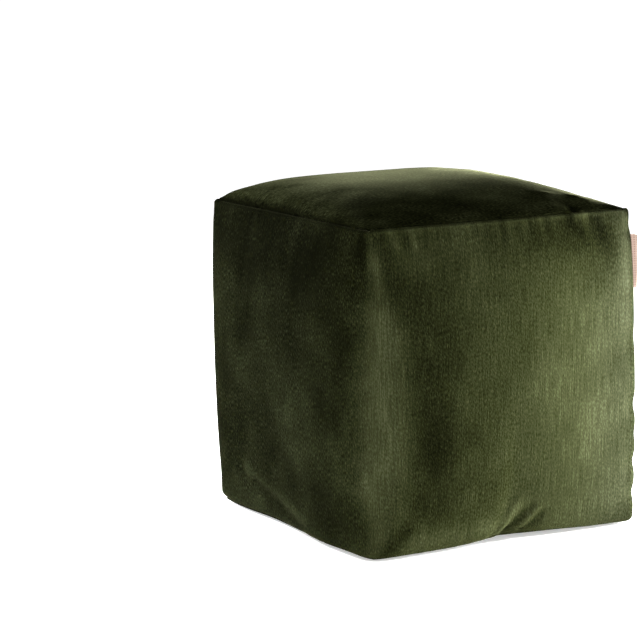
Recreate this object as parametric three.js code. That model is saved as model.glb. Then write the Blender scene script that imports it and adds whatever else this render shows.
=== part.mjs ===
// Cube pouf stool: a filled, sewn cover of velvet with a small woven label in its front right seam.
// Millimetres, +Z up. The origin is on the floor under the middle of the pouf.
// The front wall faces -Y and the left wall faces -X.

import * as THREE from 'three';
import { mergeVertices } from 'three/addons/utils/BufferGeometryUtils.js';

// ---- driving dimensions ----

const WIDTH = 370; // left to right, between the upright corners
const DEPTH = 370; // front to back, between the upright corners
const LIP_HEIGHT = 387; // floor to the top of the front wall's lip

// Crown of the top panel above its seam. It peaks behind the middle, and falls to each side by a power.
const CROWN = { rise: 25, peakX: -12, peakY: 95, powerX: 4.4, powerY: 2.3, fullness: 0.8 };

// The top panel puffs up just inside its seam, less along the front.
// fullFrom: where it is full, from -1 at the front to 1 at the back.
const PUFF = { height: 6.5, atFront: 3, width: 10, fullFrom: 0.2 };

// Walls. bulge: how far the middle stands out. lipRadius, lipTurn: the roll of cloth at the top seam, in
// degrees past upright. lipDrop: how far the lip lies below LIP_HEIGHT. hemLift: height of the base seam.
const WALLS = {
  front: { bulge: 16, lipRadius: 6.5, lipTurn: 150, lipDrop: 0, hemLift: 3 },
  back: { bulge: 15, lipRadius: 5, lipTurn: 120, lipDrop: 1, hemLift: 3 },
  left: { bulge: 14, lipRadius: 4.5, lipTurn: 105, lipDrop: 3, hemLift: 3 },
  right: { bulge: 15, lipRadius: 5, lipTurn: 130, lipDrop: 1, hemLift: 3 },
};

// Upright corners. topRadius, midRadius, baseRadius: at the lip, half height and the hem. bow: how far it
// stands out at half height. spread: how far it leans out at the hem and in at the lip. lift: of its hem.
const CORNERS = {
  frontLeft: { topRadius: 6, midRadius: 36, baseRadius: 28, bow: 5, spread: 2, lift: 0 },
  frontRight: { topRadius: 3, midRadius: 5, baseRadius: 4, bow: 6, spread: 5, lift: 0 },
  backLeft: { topRadius: 5, midRadius: 15, baseRadius: 8, bow: 8, spread: -2, lift: 5 },
  backRight: { topRadius: 6, midRadius: 24, baseRadius: 18, bow: 6, spread: 0, lift: 3 },
};

const SWELL_HEIGHT = 0.25; // where the walls stand out most, from -1 at the hem to 1 at the lip
const SWELL_POWER = 3.2; // how evenly they stand out over their height
const PINCH_POWER = 5; // how quickly a corner opens out from its pinched ends
const CORNER_HOLD = 2.2; // how far from a corner the wall keeps the corner's bow, more is nearer
const CORNER_LIFT_HOLD = 8; // the same for its lift
const LIP_CORNER_REACH = 0.93; // share of a side wall's length past which it takes the end wall's lip

// The hem turns under at the base seam, and the base panel comes down to the floor behind it.
const HEM_RADIUS = 9;
const HEM_TURN = 80;
const HEM_PULL_FROM = -0.2; // the hem's insets draw the wall in below this height, from -1 to 1
const BASE_INSET = 44; // from the hem to where the base lies flat

// Places where the hem is lifted off the floor or drawn in. at: along the wall. rise, inset: at the middle.
// before, after: half widths on the two sides.
const HEM_LIFTS = [
  { wall: 'front', at: 16, rise: 7.5, inset: 2, before: 52, after: 78 },
  { wall: 'front', at: 9, rise: 6, inset: 1.5, before: 13, after: 24 },
  { wall: 'left', at: 60, rise: 2, inset: 2, before: 60, after: 50 },
  { wall: 'left', at: -80, rise: 0, inset: -5, before: 50, after: 60 },
  { wall: 'back', at: -20, rise: 5, inset: 2, before: 60, after: 50 },
  { wall: 'right', at: 30, rise: 4, inset: 2, before: 50, after: 60 },
];

const FOLD_FADE = 0.6; // share of its depth that a fold loses by its far end
const FOLD_CORNER_POWER = 8; // a wall fold stops short of the upright corners
const FOLD_SEAM_POWER = 12; // a top fold stops short of the seam

// Soft ridges and troughs in the walls. from, to: along the wall and up. depth: out is positive.
const WALL_FOLDS = [
  { wall: 'front', from: [-4, 14], to: [42, 48], depth: -3.5, width: 9 },
  { wall: 'front', from: [-16, 12], to: [26, 62], depth: 3, width: 10 },
  { wall: 'front', from: [22, 14], to: [70, 38], depth: 2.5, width: 9 },
  { wall: 'front', from: [100, 380], to: [118, 350], depth: 2.2, width: 8 },
  { wall: 'front', from: [124, 376], to: [138, 352], depth: -3, width: 9 },
  { wall: 'left', from: [94, 62], to: [-42, 24], depth: 3.5, width: 11 },
  { wall: 'left', from: [78, 44], to: [-30, 10], depth: -3, width: 12 },
  { wall: 'left', from: [124, 52], to: [104, 26], depth: 2.5, width: 9 },
];

// Folds in the top panel that run in from its seam. from, to: across and deep.
const TOP_FOLDS = [
  { from: [98, -179], to: [146, -100], depth: -4.5, width: 13 },
  { from: [126, -176], to: [156, -125], depth: 2.5, width: 13 },
  { from: [-176, -60], to: [-120, -20], depth: -1.5, width: 16 },
];

// Puckers down the sewn front right corner. at: height. depth: drawn in.
const SEAM_PUCKERS = [
  { at: 366, depth: 1.5, width: 8 },
  { at: 232, depth: 1.2, width: 12 },
  { at: 148, depth: 2.6, width: 11 },
  { at: 112, depth: 1.2, width: 9 },
  { at: 78, depth: 2.6, width: 10 },
  { at: 40, depth: 2.4, width: 10 },
];
const SEAM_PUCKER_REACH = 16; // how far a pucker runs from the corner into each wall

// Side label: a tab folded over and sewn in by its two ends. round: how rounded the corners of its fold are.
const LABEL = { length: 64, middle: 323, reach: 6, thickness: 2, ply: 0.7, round: 3, tilt: -22 };
const LABEL_STEPS = 8; // mesh rows along the label
const LABEL_BEND_STEPS = 4; // and around half of its fold
const LABEL_GAP = 0.5; // between the label and the cover

// Mesh rows.
const ROWS_ACROSS = 30;
const ROWS_DEEP = 28;
const ROWS_HIGH = 34;
const LIP_ROWS = 4;
const HEM_ROWS = 3;
const EDGE_CROWDING = 0.25; // draws the rows towards the corners
const ON_WALL = 0.9999; // a unit coordinate past this is on a wall
const EDGE_SEARCH_STEPS = 30; // halvings in the search for a height on the sewn corner

const VELVET = { color: 0x3d4522, roughness: 0.95, metalness: 0 };
const WOVEN_TAPE = { color: 0xd9a595, roughness: 0.8, metalness: 0 };

// ---- small helpers ----

const radians = THREE.MathUtils.degToRad;
const smooth = THREE.MathUtils.smoothstep;
const mix = THREE.MathUtils.lerp;

function hump(distance, width) {
  return Math.exp(-((distance / width) ** 2));
}

function crowd(t) {
  return t * (1 + EDGE_CROWDING - EDGE_CROWDING * t * t);
}

// How far a point lies from the line between two others, and how far along that line it is, from 0 to 1.
function nearLine(x, y, from, to) {
  const runX = to[0] - from[0];
  const runY = to[1] - from[1];
  const along = ((x - from[0]) * runX + (y - from[1]) * runY) / (runX ** 2 + runY ** 2);
  const held = THREE.MathUtils.clamp(along, 0, 1);
  return { distance: Math.hypot(x - from[0] - held * runX, y - from[1] - held * runY), along: held };
}

// A fold is full over most of its length and fades to its far end.
function foldHeight(x, y, fold) {
  const { distance, along } = nearLine(x, y, fold.from, fold.to);
  return fold.depth * hump(distance, fold.width) * (1 - FOLD_FADE * along * along);
}

// ---- the cover's rim: any point of the walls ----

// Shares of the four walls at a point (a, b) of the unit square's outline. They add up to 1.
function wallShares(a, b) {
  const front = smooth(-b, LIP_CORNER_REACH, 1);
  const back = smooth(b, LIP_CORNER_REACH, 1);
  const side = 1 - front - back;
  const right = side * smooth(a, -1, 1);
  return { front, back, left: side - right, right };
}

function blendWalls(shares, key) {
  return Object.keys(WALLS).reduce((sum, name) => sum + shares[name] * WALLS[name][key], 0);
}

function cornerAt(a, b) {
  if (b < 0) {
    return a < 0 ? CORNERS.frontLeft : CORNERS.frontRight;
  }
  return a < 0 ? CORNERS.backLeft : CORNERS.backRight;
}

// Place along a wall, in millimetres from its middle, or null off that wall.
function alongWall(wall, a, b) {
  const facing = { front: -b, back: b, left: -a, right: a }[wall];
  if (facing < ON_WALL) {
    return null;
  }
  return wall === 'front' || wall === 'back' ? a * WIDTH / 2 : b * DEPTH / 2;
}

function hemChange(a, b) {
  const change = { rise: 0, inset: 0 };
  for (const lift of HEM_LIFTS) {
    const place = alongWall(lift.wall, a, b);
    if (place !== null) {
      const width = place < lift.at ? lift.before : lift.after;
      const share = hump(place - lift.at, width);
      change.rise += lift.rise * share;
      change.inset += lift.inset * share;
    }
  }
  return change;
}

// The plan's outline at one height: the square with its corner rounded, and the way that faces out there.
function planOutline(a, b, radius) {
  const x = a * WIDTH / 2;
  const y = b * DEPTH / 2;
  const centreX = Math.sign(a) * (WIDTH / 2 - radius);
  const centreY = Math.sign(b) * (DEPTH / 2 - radius);
  if (Math.abs(x) > Math.abs(centreX) && Math.abs(y) > Math.abs(centreY)) {
    const out = new THREE.Vector2(x - centreX, y - centreY).normalize();
    return { x: centreX + radius * out.x, y: centreY + radius * out.y, out };
  }
  const onSide = Math.abs(a) > Math.abs(b);
  const out = onSide ? new THREE.Vector2(Math.sign(a), 0) : new THREE.Vector2(0, Math.sign(b));
  return { x, y, out };
}

// Height of a wall row, its inward set from the roll of the lip or hem, and its place between them.
function wallRow(w, shares, hemRise) {
  const lipFrom = 1 - 2 * LIP_ROWS / ROWS_HIGH;
  const hemFrom = -1 + 2 * HEM_ROWS / ROWS_HIGH;
  const lipRadius = blendWalls(shares, 'lipRadius');
  const lipTurn = radians(blendWalls(shares, 'lipTurn'));
  const lipBase = LIP_HEIGHT - blendWalls(shares, 'lipDrop') - lipRadius;
  const hemTurn = radians(HEM_TURN);
  const hemBase = blendWalls(shares, 'hemLift') + hemRise + HEM_RADIUS * Math.sin(hemTurn);
  if (w > lipFrom) {
    const turn = lipTurn * (w - lipFrom) / (1 - lipFrom);
    const inset = lipRadius * (1 - Math.cos(turn));
    return { z: lipBase + lipRadius * Math.sin(turn), inset, place: 1 };
  }
  if (w < hemFrom) {
    const turn = hemTurn * (hemFrom - w) / (hemFrom + 1);
    const inset = HEM_RADIUS * (1 - Math.cos(turn));
    return { z: hemBase - HEM_RADIUS * Math.sin(turn), inset, place: -1 };
  }
  const share = (w - hemFrom) / (lipFrom - hemFrom);
  return { z: mix(hemBase, lipBase, share), inset: 0, place: 2 * share - 1 };
}

// How full the cover is at a height: none at the seams, most at SWELL_HEIGHT.
function swellAt(place) {
  const span = place > SWELL_HEIGHT ? 1 - SWELL_HEIGHT : 1 + SWELL_HEIGHT;
  return 1 - Math.abs((place - SWELL_HEIGHT) / span) ** SWELL_POWER;
}

function seamPucker(a, b, z) {
  const fromCorner = Math.hypot((1 - a) * WIDTH / 2, (1 + b) * DEPTH / 2);
  const depths = SEAM_PUCKERS.map((pucker) => pucker.depth * hump(z - pucker.at, pucker.width));
  return depths.reduce((sum, depth) => sum + depth) * hump(fromCorner, SEAM_PUCKER_REACH);
}

function wallPoint(a, b, w) {
  const shares = wallShares(a, b);
  const hem = hemChange(a, b);
  const corner = cornerAt(a, b);
  const reach = Math.min(Math.abs(a), Math.abs(b)); // 0 in the middle of a wall, 1 at its corners
  const row = wallRow(w, shares, hem.rise + corner.lift * reach ** CORNER_LIFT_HOLD);
  const endRadius = row.place > 0 ? corner.topRadius : corner.baseRadius;
  const open = 1 - Math.abs(row.place) ** PINCH_POWER;
  const outline = planOutline(a, b, mix(endRadius, corner.midRadius, open));
  const swell = swellAt(row.place) * mix(blendWalls(shares, 'bulge'), corner.bow, reach ** CORNER_HOLD);
  const nearHem = smooth(HEM_PULL_FROM - row.place, 0, 1 + HEM_PULL_FROM);
  const lean = -row.place * corner.spread * reach;
  let out = swell + lean - row.inset - hem.inset * nearHem - seamPucker(a, b, row.z);
  for (const fold of WALL_FOLDS) {
    const place = alongWall(fold.wall, a, b);
    if (place !== null) {
      out += foldHeight(place, row.z, fold) * (1 - reach ** FOLD_CORNER_POWER);
    }
  }
  return new THREE.Vector3(outline.x + out * outline.out.x, outline.y + out * outline.out.y, row.z);
}

// ---- the top and base panels ----

function crownHeight(x, y) {
  const sideX = x > CROWN.peakX ? WIDTH / 2 - CROWN.peakX : WIDTH / 2 + CROWN.peakX;
  const sideY = y > CROWN.peakY ? DEPTH / 2 - CROWN.peakY : DEPTH / 2 + CROWN.peakY;
  const fallX = 1 - Math.min(1, Math.abs((x - CROWN.peakX) / sideX)) ** CROWN.powerX;
  const fallY = 1 - Math.min(1, Math.abs((y - CROWN.peakY) / sideY)) ** CROWN.powerY;
  return CROWN.rise * (fallX * fallY) ** CROWN.fullness;
}

function puffHeight(u, v) {
  const fromSides = 1 - hump((1 - Math.abs(u)) * WIDTH / 2, PUFF.width);
  const fromEnds = 1 - hump((1 - Math.abs(v)) * DEPTH / 2, PUFF.width);
  return mix(PUFF.atFront, PUFF.height, smooth(v, -1, PUFF.fullFrom)) * fromSides * fromEnds;
}

// A smooth patch that spans the four sides of the top seam, w = 1, or of the base seam, w = -1.
function seamPatch(u, v, w) {
  const rightShare = (u + 1) / 2;
  const backShare = (v + 1) / 2;
  const sides = wallPoint(-1, v, w).lerp(wallPoint(1, v, w), rightShare);
  const ends = wallPoint(u, -1, w).lerp(wallPoint(u, 1, w), backShare);
  const frontCorners = wallPoint(-1, -1, w).lerp(wallPoint(1, -1, w), rightShare);
  const backCorners = wallPoint(-1, 1, w).lerp(wallPoint(1, 1, w), rightShare);
  return sides.add(ends).sub(frontCorners.lerp(backCorners, backShare));
}

function topPoint(u, v) {
  const point = seamPatch(u, v, 1);
  const inside = (1 - Math.abs(u) ** FOLD_SEAM_POWER) * (1 - Math.abs(v) ** FOLD_SEAM_POWER);
  const folds = TOP_FOLDS.reduce((sum, fold) => sum + foldHeight(point.x, point.y, fold), 0);
  point.z += crownHeight(u * WIDTH / 2, v * DEPTH / 2) + puffHeight(u, v) + folds * inside;
  return point;
}

function basePoint(u, v) {
  const fromSeam = Math.min((1 - Math.abs(u)) * WIDTH / 2, (1 - Math.abs(v)) * DEPTH / 2);
  const rise = Math.max(0, 1 - fromSeam / BASE_INSET) ** 2;
  const onFloor = new THREE.Vector3(u * WIDTH / 2, v * DEPTH / 2, 0);
  return onFloor.lerp(seamPatch(u, v, -1), rise);
}

function coverPoint(u, v, w) {
  if (Math.max(Math.abs(u), Math.abs(v)) > ON_WALL) {
    return wallPoint(u, v, w);
  }
  return w > 0 ? topPoint(u, v) : basePoint(u, v);
}

// ---- meshes ----

function makeCover() {
  const box = new THREE.BoxGeometry(2, 2, 2, ROWS_ACROSS, ROWS_DEEP, ROWS_HIGH);
  box.deleteAttribute('normal');
  box.deleteAttribute('uv');
  const geometry = mergeVertices(box);
  const spots = geometry.getAttribute('position');
  for (let i = 0; i < spots.count; i += 1) {
    const point = coverPoint(crowd(spots.getX(i)), crowd(spots.getY(i)), spots.getZ(i));
    spots.setXYZ(i, point.x, point.y, point.z);
  }
  return geometry;
}

// Section of the folded tab, from one sewn end out around the fold and back to the other.
function labelSection() {
  const half = LABEL.thickness / 2;
  const inside = half - LABEL.ply;
  const bend = LABEL.reach - half;
  const shape = new THREE.Shape();
  shape.moveTo(0, -half);
  shape.lineTo(bend, -half);
  shape.absarc(bend, 0, half, -Math.PI / 2, Math.PI / 2, false);
  shape.lineTo(0, half);
  shape.lineTo(0, inside);
  shape.lineTo(bend, inside);
  shape.absarc(bend, 0, inside, Math.PI / 2, -Math.PI / 2, true);
  shape.lineTo(0, -inside);
  shape.closePath();
  return shape;
}

// The tab is extruded up the seam. Its sewn ends follow the seam's bow, and its fold is straight.
function makeLabel() {
  const section = labelSection();
  const geometry = new THREE.ExtrudeGeometry(section, {
    depth: LABEL.length,
    steps: LABEL_STEPS,
    bevelEnabled: false,
    curveSegments: LABEL_BEND_STEPS,
  });
  const spots = geometry.getAttribute('position');
  const tilt = radians(LABEL.tilt);
  const middleEdge = seamEdge(LABEL.middle);
  for (let i = 0; i < spots.count; i += 1) {
    const pastRound = (spots.getX(i) - LABEL.reach + LABEL.round) / LABEL.round;
    const intoRound = THREE.MathUtils.clamp(pastRound, 0, 1);
    const drawIn = LABEL.round * (1 - Math.sqrt(1 - intoRound ** 2));
    const z = LABEL.middle + (spots.getZ(i) - LABEL.length / 2) * (1 - 2 * drawIn / LABEL.length);
    const edge = seamEdge(z).lerp(middleEdge, spots.getX(i) / LABEL.reach);
    const out = LABEL_GAP + spots.getX(i);
    const across = spots.getY(i);
    const x = edge.x + out * Math.cos(tilt) - across * Math.sin(tilt);
    const y = edge.y + out * Math.sin(tilt) + across * Math.cos(tilt);
    spots.setXYZ(i, x, y, z);
  }
  return geometry;
}

// The outermost point of the sewn corner at a height.
function seamEdge(z) {
  let low = -1;
  let high = 1 - 2 * LIP_ROWS / ROWS_HIGH;
  for (let step = 0; step < EDGE_SEARCH_STEPS; step += 1) {
    const middle = (low + high) / 2;
    if (wallPoint(1, -1, middle).z < z) {
      low = middle;
    } else {
      high = middle;
    }
  }
  return wallPoint(1, -1, low);
}

function piece(name, geometry, material) {
  const mesh = new THREE.Mesh(geometry, new THREE.MeshStandardMaterial(material));
  mesh.name = name;
  return mesh;
}

const pouf = new THREE.Group();
pouf.add(piece('filled_cover', makeCover(), VELVET));
pouf.add(piece('side_label', makeLabel(), WOVEN_TAPE));

export default pouf;
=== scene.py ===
"""Looks of the cube pouf stool: a filled velvet cover and a blank woven side label, around the CAD frame.

The frame's axes are kept: +Z up, origin on the floor under the middle, the front wall facing -Y. Shape
sizes below are in millimetres, as in the part's own source, and everything handed to Blender is in metres.
"""

import itertools
import math

import bpy
import numpy as np
from mathutils import Matrix, Vector


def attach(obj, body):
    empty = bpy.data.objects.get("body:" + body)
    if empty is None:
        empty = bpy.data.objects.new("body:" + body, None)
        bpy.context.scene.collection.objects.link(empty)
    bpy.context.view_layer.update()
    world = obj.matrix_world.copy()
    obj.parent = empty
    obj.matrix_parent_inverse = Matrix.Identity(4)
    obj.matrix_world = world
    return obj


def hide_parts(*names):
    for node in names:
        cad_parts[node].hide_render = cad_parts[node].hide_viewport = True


MM = 0.001

# ---- sizes of the cover, in millimetres, as in the CAD source ----

WIDTH = 370.0
DEPTH = 370.0
LIP_HEIGHT = 387.0

CROWN = dict(rise=25, peak_x=-12, peak_y=95, power_x=4.4, power_y=2.3, fullness=0.8)
PUFF = dict(height=6.5, at_front=3, width=10, full_from=0.2)

# order of the numbers in a row: front, back, left, right
WALL_NAMES = ("front", "back", "left", "right")
WALLS = dict(
    bulge=(16, 15, 14, 15),
    lip_radius=(4.5, 5, 4.5, 5),
    lip_turn=(150, 120, 105, 130),
    lip_drop=(0.5, 1, 3, 1),
    hem_lift=(3, 3, 3, 3),
)

CORNERS = (
    dict(side=(-1, -1), top_radius=6, mid_radius=36, base_radius=28, bow=5, spread=2, lift=0),
    dict(side=(1, -1), top_radius=3, mid_radius=5, base_radius=4, bow=6, spread=5, lift=0),
    dict(side=(-1, 1), top_radius=5, mid_radius=15, base_radius=8, bow=8, spread=-2, lift=5),
    dict(side=(1, 1), top_radius=6, mid_radius=24, base_radius=18, bow=6, spread=0, lift=3),
)

SWELL_HEIGHT = 0.25
SWELL_POWER = 3.2
PINCH_POWER = 5
CORNER_HOLD = 2.2
CORNER_LIFT_HOLD = 8
LIP_CORNER_REACH = 0.93

HEM_RADIUS = 9.0
HEM_TURN = 80.0
HEM_PULL_FROM = -0.2
BASE_INSET = 44.0

# wall, place along it, rise, inset, half width before, half width after
HEM_LIFTS = (
    ("front", 16, 7.5, 2, 52, 78),
    ("front", 9, 6, 1.5, 13, 24),
    ("left", 60, 2, 2, 60, 50),
    ("left", -80, 0, -5, 50, 60),
    ("back", -20, 5, 2, 60, 50),
    ("right", 30, 4, 2, 50, 60),
)

FOLD_FADE = 0.6
FOLD_CORNER_POWER = 8
FOLD_SEAM_POWER = 12

# wall, from (along, up), to (along, up), depth, width
WALL_FOLDS = (
    ("front", (8, 12), (38, 42), -3.4, 5.5),
    ("front", (31, 12), (54, 32), -2.8, 5),
    ("front", (-4, 12), (18, 50), 2.8, 7),
    ("front", (20, 12), (46, 38), 2.4, 5.5),
    ("front", (-13, 10), (2, 28), -2.2, 5.5),
    ("front", (100, 380), (118, 350), 2.2, 8),
    ("front", (124, 376), (138, 352), -3, 9),
    ("left", (94, 62), (-42, 24), 3.5, 11),
    ("left", (78, 44), (-30, 10), -3, 12),
    ("left", (124, 52), (104, 26), 2.5, 9),
)

# from (across, deep), to (across, deep), depth, width
TOP_FOLDS = (
    ((43, -182), (88, -105), -2.5, 7),
    ((72, -180), (112, -110), 2, 11),
    ((93, -194), (135, -125), -5.5, 6),
    ((126, -178), (156, -125), 2.5, 12),
    ((-176, -60), (-120, -20), -1.5, 16),
)

# height, depth, width
SEAM_PUCKERS = (
    (366, 1.5, 8),
    (232, 1.2, 12),
    (148, 2.6, 11),
    (112, 1.2, 9),
    (78, 2.6, 10),
    (40, 2.4, 10),
)
SEAM_PUCKER_REACH = 16.0

# small gathers that the seams draw into the cloth: depth, spacing and reach from the seam
GATHERS = dict(depth=1.1, spacing=8, reach=20, patch=5)
GATHER_SEEDS = dict(front=3, back=4, left=5, right=6)
GATHER_STEPS = 80

# ---- the label, in millimetres ----

# gap: below 0, its root is sunk into the seam
# wave, wave_run: how far the tape waves, and the run of one radian of that
LABEL = dict(
    length=64,
    middle=323,
    reach=6.5,
    thickness=2,
    ply=0.7,
    round=3,
    tilt=-22,
    gap=-0.5,
    wave=0.35,
    wave_run=9,
)
SEAM_EDGE_STEPS = 400
LABEL_ROWS = 64
LABEL_BEND_STEPS = 10
LABEL_FLAT_STEPS = 12

# ---- mesh rows: across, deep, high ----

ROWS = (120, 120, 136)
LIP_SHARE = 0.0588
HEM_SHARE = 0.0441
EDGE_CROWDING = 0.2  # draws the rows towards the corners
ON_WALL = 0.9999  # a unit coordinate past this is on a wall
TINY = 1e-9

# ---- cloth simulation on a grid of half the rows ----

CLOTH = dict(frames=20, pressure=4.0, growth=0.006, stiffness=15.0, bending=0.5, cap=1.2)
CLOTH_EASE_ROUNDS = 60
CLOTH_BLEND_ROUNDS = 3
EASE_SHARE = 0.5
# share of the simulated movement that each face keeps
CLOTH_SHARES = dict(front=0.15, back=1.0, left=0.6, right=1.0, top=0.4)

# ---- nap and painted light: how light the pile is painted, from 0, dark in painted shade, to 1, pale in painted light ----

LEAST_SHARE = 1e-3  # below this in all, a point is on the base, which no amount is given for
NAP_LIGHT_AND_SHADE_LEVEL = 0.4
NAP_WRAP = 0.07  # how far from an edge one face's nap runs over into the next

# painted shade: the seam's groove behind the lip is painted darker
GROOVE_PAINTED_SHADE = dict(change=0.35, from_row=0.97, reach=6)

# painted light and shade on the pile, with some velvet nap: a lit band down the front left fold with a
# shaded hollow beside it, painted highlights along the lips and the hem, lit ridges and shaded hollows of
# the folds, a front growing lighter towards the right, the left wall darker towards the top, a darker right
# wall, and a painted shade in the pinch at the top's seam
# face, from (along, up), to (along, up), change, width
NAP_LIGHT_AND_SHADE_STREAKS = (
    ("front", (-168, 115), (-167, 285), 0.23, 27),
    ("front", (176, 300), (180, 375), 0.15, 18),
    ("front", (-88, 340), (-88, 120), -0.09, 20),
    ("front", (-175, 25), (-173, 70), 0.12, 22),
    ("front", (-178, 322), (-182, 352), 0.15, 16),
    ("front", (-131, 320), (-108, 130), -0.15, 24),
    ("front", (-108, 130), (-118, 60), -0.14, 26),
    ("front", (-168, 4), (-138, 34), -0.22, 10),
    ("front", (40, 366), (150, 346), -0.1, 22),
    ("front", (100, 374), (140, 358), -0.14, 16),
    ("front", (-178, 387), (184, 387), 0.15, 5),
    ("front", (-184, 386), (-183, 345), 0.22, 7),
    ("front", (-168, 378), (-146, 285), -0.16, 12),
    ("front", (-158, 387), (-150, 366), 0.14, 5),
    ("front", (-144, 387), (-137, 366), -0.08, 5),
    ("front", (-132, 387), (-124, 364), 0.15, 4.5),
    ("front", (62, 387), (110, 387), 0.1, 9),
    ("front", (-120, 350), (-60, 350), 0.07, 30),
    ("front", (110, 60), (110, 240), 0.21, 80),
    ("front", (188, 60), (188, 340), 0.1, 20),
    ("front", (-122, 18), (-20, 20), 0.14, 16),
    ("front", (-2, 14), (16, 44), 0.12, 6),
    ("front", (10, 13), (36, 40), -0.12, 5),
    ("front", (22, 13), (40, 34), 0.12, 5),
    ("front", (33, 12), (52, 31), -0.1, 5),
    ("left", (94, 62), (-42, 24), 0.12, 9),
    ("left", (80, 46), (-30, 8), -0.1, 9),
    ("left", (-185, 350), (185, 350), -0.3, 80),
    ("left", (-100, 190), (185, 190), -0.17, 110),
    ("left", (-120, 40), (150, 60), -0.16, 60),
    ("left", (-192, 85), (-192, 290), 0.31, 32),
    ("left", (-187, 335), (-189, 350), 0.12, 16),
    ("left", (-185, 15), (-185, 40), 0.1, 14),
    ("left", (60, 90), (-60, 130), 0.06, 60),
    ("left", (60, 120), (180, 130), -0.13, 60),
    ("back", (-150, 60), (-150, 300), 0.16, 30),
    ("back", (120, 80), (150, 300), -0.1, 40),
    ("right", (-120, 120), (-90, 300), 0.13, 60),
    ("right", (150, 60), (150, 300), -0.13, 30),
    ("right", (-200, 402), (60, 402), -0.4, 15),
    ("right", (-120, 200), (150, 200), -0.2, 170),
    ("top", (-160, 90), (-130, -110), 0.08, 30),
    ("top", (-150, -60), (-40, -150), -0.08, 40),
    ("top", (40, 40), (-60, -20), 0.12, 60),
    ("top", (96, -192), (112, -166), -0.35, 7),
    ("top", (-150, 60), (-60, 120), 0.1, 60),
    ("top", (150, -170), (150, -60), -0.1, 50),
)

# ---- velvet and tape, colours and textures ----

# level of the painted light and shade on the pile, and the cloth's colour there: dark velvet in painted
# shade, paler and greyer green in painted light
PILE_COLORS_BY_PAINTED_LIGHT = (
    (0.0, (0.0045, 0.0052, 0.0018)),
    (0.2, (0.0105, 0.0122, 0.0041)),
    (0.4, (0.0238, 0.0275, 0.0094)),
    (0.6, (0.0510, 0.0580, 0.0232)),
    (0.8, (0.110, 0.122, 0.056)),
    (1.0, (0.240, 0.260, 0.135)),
)
# how strongly each texture of the pile, and its painted sheen, a cooler grey tint, shows on a face
PILE_CHANGES = dict(
    patches=dict(front=0.32, back=0.4, left=0.58, right=0.45, top=0.9),
    rows=dict(front=0.5, back=0.42, left=0.3, right=0.42, top=0.3),
    flecks=dict(front=1.45, back=1.6, left=1.6, right=1.6, top=1.9),
    painted_sheen=dict(front=0.0, back=0.5, left=1.0, right=0.3, top=0.4),
)
FLECKS_CALM = 1.45  # flecks show less where the pile is painted pale by painted light
# painted sheen: a cooler, greyer tint where the velvet's sheen shows, strongest on the left wall
PAINTED_SHEEN_TINT = (0.98, 0.96, 1.22)
PAINTED_SHEEN_FROM_FRONT = (-1.2, 0)  # on the other faces the painted sheen tint grows from front to back,
PAINTED_SHEEN_TO_RIGHT = (0.4, 1.1)  # and on the front it starts near the right side
SHEEN = dict(weight=0.2, roughness=0.16, tint=(0.80, 0.84, 0.47))
# lump sizes of the noises, in metres: across the nap, along it, through it
PILE_ROWS = dict(size=(0.0016, 0.036, 1), detail=3)
PILE_FLECKS = dict(size=(0.0013, 0.0038, 1), detail=2, lean=12)
BRUSHED_PATCHES = dict(size=(0.06, 0.06, 0.06), detail=4)
PILE_BUMP = dict(strength=0.2, distance=0.0006)
TOP_MAP_SHIFT = 3.0  # keeps the top and base clear of the walls on the cloth's map, in metres

TAPE_ROUGHNESS = 0.6
TAPE_SHEEN = 0.2
TAPE_COLORS = ((0.52, 0.27, 0.20), (0.82, 0.62, 0.50))
TAPE_WAVE_RADIANS_PER_M = 2200
WAVE_NODE_RADIANS = 20  # of Blender's wave texture, for each unit at a scale of 1
TAPE_WAVE_DISTORTION = 0.3
TAPE_BUMP = dict(strength=0.4, distance=0.0002)

# ---- stage and lights, in metres and watts ----

FLOOR_HALF = 40.0
FLOOR_WHITE = 0.9
FLOOR_ROUGHNESS = 0.9
FLOOR_GLOW = 0.5  # softens the shadow on the floor
FLOOR_SUN = dict(direction=(0.45, 0.6, -1), spread=20, strength=2.5)
WORLD_STRENGTH = 0.03
BACKDROP_STRENGTH = 1.0

# name, place, aim, size, power
SOFTBOXES = (
    ("right_softbox", (0.80, -0.34, 0.155), (0, -0.185, 0.14), (0.15, 0.44), 42),
    ("back_softbox", (-0.5, 2.3, 0.62), (0, 0, 0.4), (0.5, 0.2), 130),
    ("top_softbox", (-0.3, 0.7, 1.8), (0, 0, 0.4), (0.8, 0.8), 9),
)

# ---- camera ----

CAMERA_AZIMUTH = -30.21
CAMERA_ELEVATION = 9.55
CAMERA_ROLL = -0.44
CAMERA_DISTANCE = 3.12
CAMERA_AIM = Vector((-0.1415, 0.0, 0.2548))
SENSOR_WIDTH = 36.0
LENS = 146.25
CAMERA_CLIP_END = 100


# ---- small helpers ----


def hump(distance, width):
    return np.exp(-((distance / width) ** 2))


def smooth(value, low, high):
    t = np.clip((value - low) / (high - low), 0, 1)
    return t * t * (3 - 2 * t)


def mix(a, b, share):
    return a + (b - a) * share


def crowd(t):
    return t * (1 + EDGE_CROWDING - EDGE_CROWDING * t * t)


def fold_height(x, y, start, end, depth, width):
    run_x, run_y = end[0] - start[0], end[1] - start[1]
    along = np.clip(((x - start[0]) * run_x + (y - start[1]) * run_y) / (run_x**2 + run_y**2), 0, 1)
    distance = np.hypot(x - start[0] - along * run_x, y - start[1] - along * run_y)
    return depth * hump(distance, width) * (1 - FOLD_FADE * along * along)


# ---- the cover's surface, worked out for arrays of points ----


def wall_shares(a, b):
    front = smooth(-b, LIP_CORNER_REACH, 1)
    back = smooth(b, LIP_CORNER_REACH, 1)
    side = 1 - front - back
    right = side * smooth(a, -1, 1)
    return front, back, side - right, right


def blend_walls(shares, key):
    return sum(share * value for share, value in zip(shares, WALLS[key]))


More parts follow.
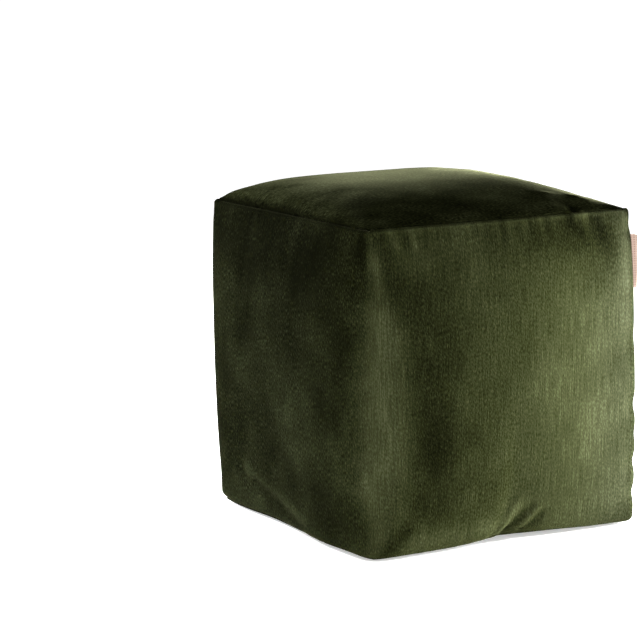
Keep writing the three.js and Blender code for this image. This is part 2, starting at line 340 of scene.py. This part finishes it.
def corner_values(a, b, key):
    values = np.zeros_like(a)
    for corner in CORNERS:
        side_a, side_b = corner["side"]
        here = (np.where(a < 0, -1, 1) == side_a) & (np.where(b < 0, -1, 1) == side_b)
        values = np.where(here, corner[key], values)
    return values


def on_wall(wall, a, b):
    facing = {"front": -b, "back": b, "left": -a, "right": a}[wall]
    return facing >= ON_WALL


def along_wall(wall, a, b):
    return a * WIDTH / 2 if wall in ("front", "back") else b * DEPTH / 2


def hem_change(a, b):
    rise, inset = np.zeros_like(a), np.zeros_like(a)
    for wall, at, lift, draw, before, after in HEM_LIFTS:
        place = along_wall(wall, a, b)
        share = hump(place - at, np.where(place < at, before, after)) * on_wall(wall, a, b)
        rise += lift * share
        inset += draw * share
    return rise, inset


def plan_outline(a, b, radius):
    x, y = a * WIDTH / 2, b * DEPTH / 2
    centre_x = np.sign(a) * (WIDTH / 2 - radius)
    centre_y = np.sign(b) * (DEPTH / 2 - radius)
    rounded = (np.abs(x) > np.abs(centre_x)) & (np.abs(y) > np.abs(centre_y))
    out_x, out_y = x - centre_x, y - centre_y
    size = np.maximum(np.hypot(out_x, out_y), TINY)
    out_x, out_y = out_x / size, out_y / size
    on_side = np.abs(a) > np.abs(b)
    flat_x = np.where(on_side, np.sign(a), 0)
    flat_y = np.where(on_side, 0, np.sign(b))
    return (
        np.where(rounded, centre_x + radius * out_x, x),
        np.where(rounded, centre_y + radius * out_y, y),
        np.where(rounded, out_x, flat_x),
        np.where(rounded, out_y, flat_y),
    )


def wall_row(w, shares, hem_rise):
    lip_from = 1 - 2 * LIP_SHARE
    hem_from = -1 + 2 * HEM_SHARE
    lip_radius = blend_walls(shares, "lip_radius")
    lip_base = LIP_HEIGHT - blend_walls(shares, "lip_drop") - lip_radius
    hem_turn = math.radians(HEM_TURN)
    hem_base = blend_walls(shares, "hem_lift") + hem_rise + HEM_RADIUS * math.sin(hem_turn)
    lip = np.radians(blend_walls(shares, "lip_turn")) * np.clip((w - lip_from) / (1 - lip_from), 0, 1)
    hem = hem_turn * np.clip((hem_from - w) / (hem_from + 1), 0, 1)
    share = np.clip((w - hem_from) / (lip_from - hem_from), 0, 1)
    z = mix(hem_base, lip_base, share) + lip_radius * np.sin(lip) - HEM_RADIUS * np.sin(hem)
    inset = lip_radius * (1 - np.cos(lip)) + HEM_RADIUS * (1 - np.cos(hem))
    return z, inset, 2 * share - 1


def swell_at(place):
    span = np.where(place > SWELL_HEIGHT, 1 - SWELL_HEIGHT, 1 + SWELL_HEIGHT)
    return 1 - np.abs((place - SWELL_HEIGHT) / span) ** SWELL_POWER


def seam_pucker(a, b, z):
    near = hump(np.hypot((1 - a) * WIDTH / 2, (1 + b) * DEPTH / 2), SEAM_PUCKER_REACH)
    return near * sum(depth * hump(z - at, width) for at, depth, width in SEAM_PUCKERS)


def smooth_steps(levels, place):
    """A list of levels joined by smooth steps, read at some places counted from its middle."""
    place = place + len(levels) / 2
    first = np.floor(place).astype(int)
    return mix(levels[first], levels[first + 1], smooth(place - first, 0, 1))


def gathers(wall, place, from_seam):
    """Small gathers along a seam, strong in some places and weak in others."""
    heights, strengths = np.random.default_rng(GATHER_SEEDS[wall]).uniform(-1, 1, (2, GATHER_STEPS))
    ripple = smooth_steps(heights, place / GATHERS["spacing"])
    strength = smooth_steps(strengths, place / GATHERS["spacing"] / GATHERS["patch"])
    return GATHERS["depth"] * ripple * strength * hump(from_seam, GATHERS["reach"])


def wall_points(a, b, w):
    shares = wall_shares(a, b)
    hem_rise, hem_inset = hem_change(a, b)
    reach = np.minimum(np.abs(a), np.abs(b))
    corner_lift = corner_values(a, b, "lift") * reach**CORNER_LIFT_HOLD
    z, inset, place = wall_row(w, shares, hem_rise + corner_lift)
    open_share = 1 - np.abs(place) ** PINCH_POWER
    top_radius, mid_radius, base_radius = (
        corner_values(a, b, key) for key in ("top_radius", "mid_radius", "base_radius")
    )
    radius = mix(np.where(place > 0, top_radius, base_radius), mid_radius, open_share)
    x, y, out_x, out_y = plan_outline(a, b, radius)
    bulge = mix(blend_walls(shares, "bulge"), corner_values(a, b, "bow"), reach**CORNER_HOLD)
    lean = -place * corner_values(a, b, "spread") * reach
    near_hem = smooth(HEM_PULL_FROM - place, 0, 1 + HEM_PULL_FROM)
    out = swell_at(place) * bulge + lean - inset - hem_inset * near_hem - seam_pucker(a, b, z)
    off_corner = 1 - reach**FOLD_CORNER_POWER
    for wall, start, end, depth, width in WALL_FOLDS:
        fold = fold_height(along_wall(wall, a, b), z, start, end, depth, width)
        out = out + np.where(on_wall(wall, a, b), fold * off_corner, 0)
    for wall in WALL_NAMES:
        at_lip = gathers(wall, along_wall(wall, a, b), LIP_HEIGHT - z)
        at_hem = gathers(wall, along_wall(wall, -a, -b), z)
        out = out + np.where(on_wall(wall, a, b), (at_lip + at_hem) * off_corner, 0)
    return np.stack([x + out * out_x, y + out * out_y, z], -1)


def crown_fall(place, peak, half, power):
    """1 at the crown's peak, falling to 0 at the seam on either side of it."""
    side = np.where(place > peak, half - peak, half + peak)
    return 1 - np.minimum(1, np.abs((place - peak) / side)) ** power


def crown_height(x, y):
    fall_x = crown_fall(x, CROWN["peak_x"], WIDTH / 2, CROWN["power_x"])
    fall_y = crown_fall(y, CROWN["peak_y"], DEPTH / 2, CROWN["power_y"])
    return CROWN["rise"] * (fall_x * fall_y) ** CROWN["fullness"]


def panel_inset(u, v):
    """How far a point of the top or base panel lies inside its seam."""
    return np.minimum((1 - np.abs(u)) * WIDTH / 2, (1 - np.abs(v)) * DEPTH / 2)


def puff_height(u, v):
    """How far the top panel puffs up just inside its seam."""
    from_sides = 1 - hump((1 - np.abs(u)) * WIDTH / 2, PUFF["width"])
    from_ends = 1 - hump((1 - np.abs(v)) * DEPTH / 2, PUFF["width"])
    height = mix(PUFF["at_front"], PUFF["height"], smooth(v, -1, PUFF["full_from"]))
    return height * from_sides * from_ends


def seam_patch(u, v, w):
    """The smooth patch that spans the four sides of the top seam, w = 1, or the base seam, w = -1."""
    w = np.full_like(u, w)
    one = np.ones_like(u)
    right_share, back_share = ((u + 1) / 2)[:, None], ((v + 1) / 2)[:, None]
    sides = mix(wall_points(-one, v, w), wall_points(one, v, w), right_share)
    ends = mix(wall_points(u, -one, w), wall_points(u, one, w), back_share)
    front_corners = mix(wall_points(-one, -one, w), wall_points(one, -one, w), right_share)
    back_corners = mix(wall_points(-one, one, w), wall_points(one, one, w), right_share)
    return sides + ends - mix(front_corners, back_corners, back_share)


def top_points(u, v):
    points = seam_patch(u, v, 1.0)
    inside = (1 - np.abs(u) ** FOLD_SEAM_POWER) * (1 - np.abs(v) ** FOLD_SEAM_POWER)
    folds = sum(fold_height(points[:, 0], points[:, 1], *fold) for fold in TOP_FOLDS)
    points[:, 2] += crown_height(u * WIDTH / 2, v * DEPTH / 2) + puff_height(u, v) + folds * inside
    return points


def base_points(u, v):
    rise = np.maximum(0, 1 - panel_inset(u, v) / BASE_INSET) ** 2
    on_floor = np.stack([u * WIDTH / 2, v * DEPTH / 2, np.zeros_like(u)], -1)
    return mix(on_floor, seam_patch(u, v, -1.0), rise[:, None])


def cover_points(u, v, w):
    walls = np.maximum(np.abs(u), np.abs(v)) > ON_WALL
    top = ~walls & (w > 0)
    base = ~walls & (w <= 0)
    points = np.zeros((len(u), 3))
    points[walls] = wall_points(u[walls], v[walls], w[walls])
    points[top] = top_points(u[top], v[top])
    points[base] = base_points(u[base], v[base])
    return points


# ---- meshes ----


# the axis that each face of the cube looks along, and its sign: front, back, left, right, top, base
CUBE_FACES = ((1, -1), (1, 1), (0, -1), (0, 1), (2, 1), (2, -1))


def unit_cube(across, deep, high):
    """Corner places of a cube's six gridded faces, from -1 to 1, its quads, and each quad's face."""
    lines = [np.linspace(-1, 1, n + 1) for n in (across, deep, high)]
    spots, quads, faces = [], [], []
    start = 0
    for face, (axis, sign) in enumerate(CUBE_FACES):
        first, second = [k for k in range(3) if k != axis]
        p, q = np.meshgrid(lines[first], lines[second], indexing="ij")
        block = np.zeros((p.size, 3))
        block[:, first], block[:, second], block[:, axis] = p.ravel(), q.ravel(), sign
        spots.append(block)
        index = start + np.arange(p.size).reshape(p.shape)
        corners_round = [index[:-1, :-1], index[1:, :-1], index[1:, 1:], index[:-1, 1:]]
        ring = np.stack(corners_round, -1).reshape(-1, 4)
        outward = sign * (-1 if axis == 1 else 1) > 0
        quads.append(ring if outward else ring[:, ::-1])
        faces.append(np.full(len(ring), face))
        start += p.size
    spots, quads, faces = np.concatenate(spots), np.concatenate(quads), np.concatenate(faces)
    keys = np.round(spots * 1e6).astype(np.int64)
    unique, first_of, merged = np.unique(keys, axis=0, return_index=True, return_inverse=True)
    return spots[first_of], merged.ravel()[quads], faces


def add_object(name, data):
    item = bpy.data.objects.new(name, data)
    bpy.context.scene.collection.objects.link(item)
    return item


def mesh_object(name, points, quads):
    mesh = bpy.data.meshes.new(name)
    mesh.from_pydata(points.tolist(), [], quads.tolist())
    mesh.update()
    mesh.shade_smooth()
    return add_object(name, mesh)


def cloth_map(piece, spots, faces):
    """A UV map in metres along the cloth: across the nap and along it, for each face of the cube."""
    layer = piece.data.uv_layers.new(name="cloth")
    count = len(piece.data.loops)
    vertex = np.zeros(count, np.int32)
    piece.data.loops.foreach_get("vertex_index", vertex)
    face = np.repeat(faces, 4)
    u, v, w = (spots[vertex, k] for k in range(3))
    half_w, half_d, half_h = WIDTH * MM / 2, DEPTH * MM / 2, LIP_HEIGHT * MM / 2
    across = np.select(
        [face == 0, face == 1, face == 2, face == 3, face >= 4],
        [
            u * half_w,
            4 * half_w - u * half_w,
            -2 * half_w - v * half_d,
            2 * half_w + v * half_d,
            v * half_d,
        ],
    )
    along = np.where(face >= 4, u * half_w + TOP_MAP_SHIFT, w * half_h)
    layer.uv.foreach_set("vector", np.stack([across, along], -1).astype(np.float32).ravel())


def cube_places(spots):
    """A mesh spot's unit coordinates on the cover: rows are crowded to the corners, heights are not."""
    return crowd(spots[:, 0]), crowd(spots[:, 1]), spots[:, 2]


def face_shares(u, v, w):
    """How far each point belongs to each face, which runs over smoothly at the edges."""
    facing = dict(front=-v, back=v, left=-u, right=u, top=w)
    return {face: smooth(value, 1 - NAP_WRAP, 1) for face, value in facing.items()}


def by_face(amounts, shares):
    """An amount that is given for each face, at each point."""
    total = np.maximum(sum(shares.values()), LEAST_SHARE)
    return sum(amounts[face] * share for face, share in shares.items()) / total


def eased(values, quads, rounds):
    """Values at the corners of a quad mesh, averaged with their neighbours a number of times."""
    ends = np.concatenate([quads[:, [0, 1]], quads[:, [1, 2]], quads[:, [2, 3]], quads[:, [3, 0]]])
    ends = np.concatenate([ends, ends[:, ::-1]])
    count = np.bincount(ends[:, 0], minlength=len(values))[:, None]
    for _ in range(rounds):
        around = [np.bincount(ends[:, 0], column[ends[:, 1]], len(values)) for column in values.T]
        values = mix(values, np.stack(around, -1) / count, EASE_SHARE)
    return values


def capped(offsets, most):
    size = np.linalg.norm(offsets, axis=1, keepdims=True)
    return offsets * np.minimum(1, most / np.maximum(size, TINY))


def filled_cloth(piece, held):
    """Blender's Cloth on the cover, swollen by its filling while the seams hold: where its points end."""
    group = piece.vertex_groups.new(name="seams")
    group.add(np.flatnonzero(held).tolist(), 1.0, "REPLACE")
    cloth = piece.modifiers.new("filling", "CLOTH")
    cloth.point_cache.frame_start = 1
    cloth.point_cache.frame_end = CLOTH["frames"]
    cloth.collision_settings.use_collision = False
    settings = cloth.settings
    settings.vertex_group_mass = "seams"
    settings.tension_stiffness = settings.compression_stiffness = CLOTH["stiffness"]
    settings.shear_stiffness = CLOTH["stiffness"] / 3
    settings.bending_stiffness = CLOTH["bending"]
    settings.use_pressure = True
    settings.uniform_pressure_force = CLOTH["pressure"]
    settings.shrink_min = -CLOTH["growth"]
    settings.effector_weights.gravity = 0
    scene = bpy.context.scene
    for frame_number in range(1, CLOTH["frames"] + 1):
        scene.frame_set(frame_number)
    swollen = piece.evaluated_get(bpy.context.evaluated_depsgraph_get()).to_mesh()
    places = np.zeros(len(swollen.vertices) * 3, np.float32)
    swollen.vertices.foreach_get("co", places)
    scene.frame_set(1)
    return places.reshape(-1, 3).astype(float)


def lattice(spots, rows):
    return np.round((spots + 1) / 2 * np.array(rows)).astype(int)


def to_fine_grid(values, coarse_spots, coarse_rows, fine_spots):
    """Values at the corners of a coarse cube grid, carried to a grid of twice the rows."""
    corner_at = np.zeros(np.array(coarse_rows) + 1, int)
    corner_at[tuple(lattice(coarse_spots, coarse_rows).T)] = np.arange(len(coarse_spots))
    place = lattice(fine_spots, np.array(coarse_rows) * 2)
    total = np.zeros((len(fine_spots), values.shape[1]))
    for upper in itertools.product((0, 1), repeat=3):
        total += values[corner_at[tuple(((place + upper) // 2).T)]]
    return total / 8


def cloth_offsets(fine_spots, fine_quads):
    """How the simulated cloth departs from the plain surface, less its even swelling."""
    rows = tuple(count // 2 for count in ROWS)
    spots, quads, _ = unit_cube(*rows)
    u, v, w = cube_places(spots)
    points = cover_points(u, v, w) * MM
    piece = mesh_object("cloth_trial", points, quads)
    at_sides = np.maximum(np.abs(u), np.abs(v)) > ON_WALL
    sewn_corner = (u > ON_WALL) & (v < -ON_WALL)
    held = (at_sides & (w == 1)) | (w < 2 * HEM_SHARE - 1) | sewn_corner
    offsets = filled_cloth(piece, held) - points
    bpy.data.objects.remove(piece)
    offsets = capped(offsets - eased(offsets, quads, CLOTH_EASE_ROUNDS), CLOTH["cap"] * MM)
    offsets[held] = 0
    offsets = eased(to_fine_grid(offsets, spots, rows, fine_spots), fine_quads, CLOTH_BLEND_ROUNDS)
    return offsets * by_face(CLOTH_SHARES, face_shares(*cube_places(fine_spots)))[:, None]


def nap_light_and_shade_levels(u, v, w, heights, shares):
    """How light the pile is painted at each point, painted light and shade with some velvet nap; heights are
    in millimetres.
    """
    levels = np.full(len(u), NAP_LIGHT_AND_SHADE_LEVEL)
    side_total = np.maximum(sum(shares[face] for face in shares if face != "top"), 1)
    for face, start, end, change, width in NAP_LIGHT_AND_SHADE_STREAKS:
        if face == "top":
            along, up = u * WIDTH / 2, v * DEPTH / 2
        else:
            along, up = along_wall(face, u, v), heights
        run = np.subtract(end, start)
        share = np.clip(((along - start[0]) * run[0] + (up - start[1]) * run[1]) / (run @ run), 0, 1)
        distance = np.hypot(along - start[0] - share * run[0], up - start[1] - share * run[1])
        levels += change * hump(distance, width) * shares[face] / side_total
    # painted shade in the seam's groove behind the lip
    groove_shade_share = smooth(w, GROOVE_PAINTED_SHADE["from_row"], 1) * hump(panel_inset(u, v), GROOVE_PAINTED_SHADE["reach"])
    return np.clip(levels - GROOVE_PAINTED_SHADE["change"] * groove_shade_share, 0, 1)


def make_cover():
    spots, quads, faces = unit_cube(*ROWS)
    u, v, w = cube_places(spots)
    points = cover_points(u, v, w) * MM
    shares = face_shares(u, v, w)
    layers = {name: by_face(amounts, shares) for name, amounts in PILE_CHANGES.items()}
    # the nap attribute carries painted light and shade on the pile, with some velvet nap
    layers["nap"] = nap_light_and_shade_levels(u, v, w, points[:, 2] / MM, shares)
    layers["flecks"] -= FLECKS_CALM * layers["nap"]
    # painted sheen: the cooler tint grows towards the back, and on the front towards the right side
    layers["painted_sheen"] *= smooth(v, *PAINTED_SHEEN_FROM_FRONT)
    layers["painted_sheen"] += shares["front"] * smooth(u, *PAINTED_SHEEN_TO_RIGHT)
    points += cloth_offsets(spots, quads)
    piece = mesh_object("velvet_cover", points, quads)
    for name, values in layers.items():
        layer = piece.data.attributes.new(name, "FLOAT", "POINT")
        layer.data.foreach_set("value", values.astype(np.float32))
    cloth_map(piece, np.stack([u, v, w], -1), faces)
    return piece


# ---- the label ----


def seam_edge(heights):
    """The sewn front right corner at some heights, in millimetres."""
    rows = np.linspace(-1, 1 - 2 * LIP_SHARE, SEAM_EDGE_STEPS)
    ones = np.ones_like(rows)
    edge = wall_points(ones, -ones, rows)
    return [np.interp(heights, edge[:, 2], edge[:, k]) for k in (0, 1)]


def label_loop():
    """The folded tape's section: places out from the seam and across, and how far round the tape each is."""
    half = LABEL["thickness"] / 2
    bend = LABEL["reach"] - half
    out_line = np.linspace(0, bend, LABEL_FLAT_STEPS, endpoint=False)
    turn = np.linspace(-math.pi / 2, math.pi / 2, LABEL_BEND_STEPS + 1)
    sides = []
    for radius in (half, half - LABEL["ply"]):
        out = np.concatenate([out_line, bend + radius * np.cos(turn), out_line[::-1]])
        flat = np.full(LABEL_FLAT_STEPS, radius)
        across = np.concatenate([-flat, radius * np.sin(turn), flat])
        sides.append(np.stack([out, across], -1))
    outside, inside = sides
    round_tape = np.concatenate([[0], np.cumsum(np.linalg.norm(np.diff(outside, axis=0), axis=1))])
    return np.concatenate([outside, inside[::-1]]), np.concatenate([round_tape, round_tape[::-1]])


def make_label():
    loop, round_tape = label_loop()
    rows = np.linspace(-0.5, 0.5, LABEL_ROWS + 1) * LABEL["length"]
    along, out = (block.ravel() for block in np.meshgrid(rows, loop[:, 0], indexing="ij"))
    across = np.tile(loop[:, 1], len(rows))
    into_round = np.clip((out - LABEL["reach"] + LABEL["round"]) / LABEL["round"], 0, 1)
    draw_in = LABEL["round"] * (1 - np.sqrt(1 - into_round**2))
    z = LABEL["middle"] + along * (1 - 2 * draw_in / LABEL["length"])
    fold_share = out / LABEL["reach"]
    across = across + LABEL["wave"] * np.sin(along / LABEL["wave_run"]) * fold_share**2
    edges = zip(seam_edge(z), seam_edge(LABEL["middle"]))
    edge_x, edge_y = (mix(at_seam, at_fold, fold_share) for at_seam, at_fold in edges)
    tilt = math.radians(LABEL["tilt"])
    out = out + LABEL["gap"]
    x = edge_x + out * math.cos(tilt) - across * math.sin(tilt)
    y = edge_y + out * math.sin(tilt) + across * math.cos(tilt)
    size = len(loop)
    index = np.arange(len(rows) * size).reshape(len(rows), size)
    nearby = np.roll(index, -1, axis=1)
    quads = np.stack([index[:-1], nearby[:-1], nearby[1:], index[1:]], -1).reshape(-1, 4)
    half = size // 2
    rim = np.arange(half - 1)
    ends = [
        np.stack([row[rim], row[size - 1 - rim], row[size - 2 - rim], row[rim + 1]], -1)[:, ::order]
        for row, order in ((index[0], -1), (index[-1], 1))
    ]
    quads = np.concatenate([quads, *ends])
    piece = mesh_object("woven_label", np.stack([x, y, z], -1) * MM, quads)
    layer = piece.data.uv_layers.new(name="tape")
    vertex = quads.ravel()
    flat = np.stack([np.tile(round_tape, len(rows))[vertex], along[vertex]], -1) * MM
    layer.uv.foreach_set("vector", flat.astype(np.float32).ravel())
    return piece, (round_tape.max() * MM, LABEL["length"] * MM)


# ---- stage, lights and camera ----


def new_material(name):
    """A node material, its node tree and its shader."""
    material = bpy.data.materials.new(name)
    material.use_nodes = True
    return material, material.node_tree, material.node_tree.nodes["Principled BSDF"]


def make_floor():
    half = FLOOR_HALF
    points = np.array([(-half, -half, 0), (half, -half, 0), (half, half, 0), (-half, half, 0)])
    floor = mesh_object("floor", points, np.array([[0, 1, 2, 3]]))
    white, _, shader = new_material("floor_white")
    shader.inputs["Base Color"].default_value = (FLOOR_WHITE, FLOOR_WHITE, FLOOR_WHITE, 1)
    shader.inputs["Roughness"].default_value = FLOOR_ROUGHNESS
    shader.inputs["Emission Color"].default_value = (1, 1, 1, 1)
    shader.inputs["Emission Strength"].default_value = FLOOR_GLOW
    floor.data.materials.append(white)
    return floor


def make_camera():
    azimuth, elevation = math.radians(CAMERA_AZIMUTH), math.radians(CAMERA_ELEVATION)
    flat = math.cos(elevation)
    back = Vector((math.sin(azimuth) * flat, -math.cos(azimuth) * flat, math.sin(elevation)))
    data = bpy.data.cameras.new("camera")
    data.sensor_width = SENSOR_WIDTH
    data.lens = LENS
    data.clip_end = CAMERA_CLIP_END
    camera = add_object("camera", data)
    turn = (-back).to_track_quat("-Z", "Y").to_matrix().to_4x4()
    roll = Matrix.Rotation(math.radians(CAMERA_ROLL), 4, "Z")
    camera.matrix_world = Matrix.Translation(CAMERA_AIM + back * CAMERA_DISTANCE) @ turn @ roll
    bpy.context.scene.camera = camera


def aim_light(light, direction):
    light.rotation_euler = Vector(direction).to_track_quat("-Z", "Y").to_euler()


def add_softbox(name, place, aim, size, power):
    data = bpy.data.lights.new(name, "AREA")
    data.shape = "RECTANGLE"
    data.size, data.size_y = size
    data.energy = power
    light = add_object(name, data)
    light.location = place
    aim_light(light, Vector(aim) - Vector(place))


def add_sun(name, direction, spread, strength):
    data = bpy.data.lights.new(name, "SUN")
    data.angle = math.radians(spread)
    data.energy = strength
    light = add_object(name, data)
    aim_light(light, direction)
    return light


def light_only(light, receivers):
    """The light falls on these objects alone; everything still casts its shadow."""
    lit = bpy.data.collections.new(light.name + "_lit")
    for receiver in receivers:
        lit.objects.link(receiver)
    light.light_linking.receiver_collection = lit


def make_world():
    """A dim studio around a white backdrop: only the camera sees the backdrop."""
    world = bpy.data.worlds.new("studio")
    bpy.context.scene.world = world
    world.use_nodes = True
    tree = world.node_tree
    background = tree.nodes["Background"]
    background.inputs["Color"].default_value = (1, 1, 1, 1)
    background.inputs["Strength"].default_value = WORLD_STRENGTH
    bright = tree.nodes.new("ShaderNodeBackground")
    bright.inputs["Strength"].default_value = BACKDROP_STRENGTH
    rays = tree.nodes.new("ShaderNodeLightPath")
    blend = tree.nodes.new("ShaderNodeMixShader")
    tree.links.new(rays.outputs["Is Camera Ray"], blend.inputs["Fac"])
    tree.links.new(background.outputs["Background"], blend.inputs[1])
    tree.links.new(bright.outputs["Background"], blend.inputs[2])
    tree.links.new(blend.outputs["Shader"], tree.nodes["World Output"].inputs["Surface"])


def make_lights(floor):
    bpy.context.scene.view_settings.view_transform = "Standard"
    make_world()
    light_only(add_sun("floor_light", **FLOOR_SUN), [floor])
    for softbox in SOFTBOXES:
        add_softbox(*softbox)


# ---- velvet and tape materials ----


def add_noise(tree, vector, size, detail, lean=0):
    """A noise texture with lumps of a size in metres, leaning by some degrees; gives its grey output."""
    mapping = tree.nodes.new("ShaderNodeMapping")
    mapping.vector_type = "TEXTURE"
    mapping.inputs["Scale"].default_value = size
    mapping.inputs["Rotation"].default_value = (0, 0, math.radians(lean))
    tree.links.new(vector, mapping.inputs["Vector"])
    noise = tree.nodes.new("ShaderNodeTexNoise")
    noise.inputs["Scale"].default_value = 1
    noise.inputs["Detail"].default_value = detail
    tree.links.new(mapping.outputs["Vector"], noise.inputs["Vector"])
    return noise.outputs["Fac"]


def attribute(tree, name):
    node = tree.nodes.new("ShaderNodeAttribute")
    node.attribute_name = name
    return node.outputs["Fac"]


def add_change(tree, base, change, amount):
    """base + (change - 0.5) * amount, where all three are outputs of nodes"""
    centred = tree.nodes.new("ShaderNodeMath")
    centred.operation = "SUBTRACT"
    tree.links.new(change, centred.inputs[0])
    centred.inputs[1].default_value = 0.5
    total = tree.nodes.new("ShaderNodeMath")
    total.operation = "MULTIPLY_ADD"
    tree.links.new(centred.outputs[0], total.inputs[0])
    tree.links.new(amount, total.inputs[1])
    tree.links.new(base, total.inputs[2])
    return total.outputs[0]


def add_bump(tree, shader, height, strength, distance):
    bump = tree.nodes.new("ShaderNodeBump")
    bump.inputs["Strength"].default_value = strength
    bump.inputs["Distance"].default_value = distance
    tree.links.new(height, bump.inputs["Height"])
    tree.links.new(bump.outputs["Normal"], shader.inputs["Normal"])


def velvet_material():
    material, tree, shader = new_material("olive_velvet")
    nodes, links = tree.nodes, tree.links
    shader.inputs["Roughness"].default_value = 1.0
    shader.inputs["Specular IOR Level"].default_value = 0.0
    shader.inputs["Sheen Weight"].default_value = SHEEN["weight"]
    shader.inputs["Sheen Roughness"].default_value = SHEEN["roughness"]
    shader.inputs["Sheen Tint"].default_value = (*SHEEN["tint"], 1)

    cloth = nodes.new("ShaderNodeUVMap")
    cloth.uv_map = "cloth"
    object_place = nodes.new("ShaderNodeTexCoord").outputs["Object"]
    pile_rows = add_noise(tree, cloth.outputs["UV"], **PILE_ROWS)
    pile_flecks = add_noise(tree, cloth.outputs["UV"], **PILE_FLECKS)
    brushed_patches = add_noise(tree, object_place, **BRUSHED_PATCHES)

    # the nap attribute: painted light and shade on the pile, with some velvet nap, shifted by the pile's
    # textures
    level = attribute(tree, "nap")
    for name, texture in (("patches", brushed_patches), ("rows", pile_rows), ("flecks", pile_flecks)):
        level = add_change(tree, level, texture, attribute(tree, name))

    color = nodes.new("ShaderNodeValToRGB")
    ramp = color.color_ramp
    for position, shade in PILE_COLORS_BY_PAINTED_LIGHT[1:-1]:
        ramp.elements.new(position).color = (*shade, 1)
    for end in (0, -1):
        ramp.elements[end].position, shade = PILE_COLORS_BY_PAINTED_LIGHT[end]
        ramp.elements[end].color = (*shade, 1)
    links.new(level, color.inputs["Fac"])

    # painted sheen: a cooler, greyer tint over the pile's colour
    painted_sheen_tinted = nodes.new("ShaderNodeMix")
    painted_sheen_tinted.data_type = "RGBA"
    painted_sheen_tinted.blend_type = "MULTIPLY"
    painted_sheen_tinted.inputs["B"].default_value = (*PAINTED_SHEEN_TINT, 1)
    links.new(attribute(tree, "painted_sheen"), painted_sheen_tinted.inputs["Factor"])
    links.new(color.outputs["Color"], painted_sheen_tinted.inputs["A"])
    links.new(painted_sheen_tinted.outputs["Result"], shader.inputs["Base Color"])
    add_bump(tree, shader, pile_rows, **PILE_BUMP)
    return material


def tape_material():
    material, tree, shader = new_material("woven_tape")
    nodes, links = tree.nodes, tree.links
    shader.inputs["Roughness"].default_value = TAPE_ROUGHNESS
    shader.inputs["Sheen Weight"].default_value = TAPE_SHEEN
    tape = nodes.new("ShaderNodeUVMap")
    tape.uv_map = "tape"
    threads = []
    for direction in ("X", "Y"):
        wave = nodes.new("ShaderNodeTexWave")
        wave.bands_direction = direction
        wave.inputs["Scale"].default_value = TAPE_WAVE_RADIANS_PER_M / WAVE_NODE_RADIANS
        wave.inputs["Distortion"].default_value = TAPE_WAVE_DISTORTION
        links.new(tape.outputs["UV"], wave.inputs["Vector"])
        threads.append(wave.outputs["Fac"])
    weave = nodes.new("ShaderNodeMath")
    weave.operation = "MAXIMUM"
    links.new(threads[0], weave.inputs[0])
    links.new(threads[1], weave.inputs[1])
    color = nodes.new("ShaderNodeMix")
    color.data_type = "RGBA"
    for socket, shade in zip("AB", TAPE_COLORS):
        color.inputs[socket].default_value = (*shade, 1)
    links.new(weave.outputs[0], color.inputs["Factor"])
    links.new(color.outputs["Result"], shader.inputs["Base Color"])
    add_bump(tree, shader, weave.outputs[0], **TAPE_BUMP)
    return material


# ---- the scene ----


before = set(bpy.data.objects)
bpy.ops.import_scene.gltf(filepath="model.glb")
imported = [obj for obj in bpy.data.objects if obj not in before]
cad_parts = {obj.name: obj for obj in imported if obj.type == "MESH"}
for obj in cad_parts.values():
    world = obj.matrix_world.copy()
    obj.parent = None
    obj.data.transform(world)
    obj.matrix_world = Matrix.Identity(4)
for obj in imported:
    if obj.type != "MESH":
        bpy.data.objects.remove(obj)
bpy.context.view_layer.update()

make_camera()
make_lights(make_floor())

cover = make_cover()
cover.data.materials.append(velvet_material())
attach(cover, "root")
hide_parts("filled_cover")

label, flat_size = make_label()
label.data.materials.append(tape_material())
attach(label, "root")
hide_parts("side_label")
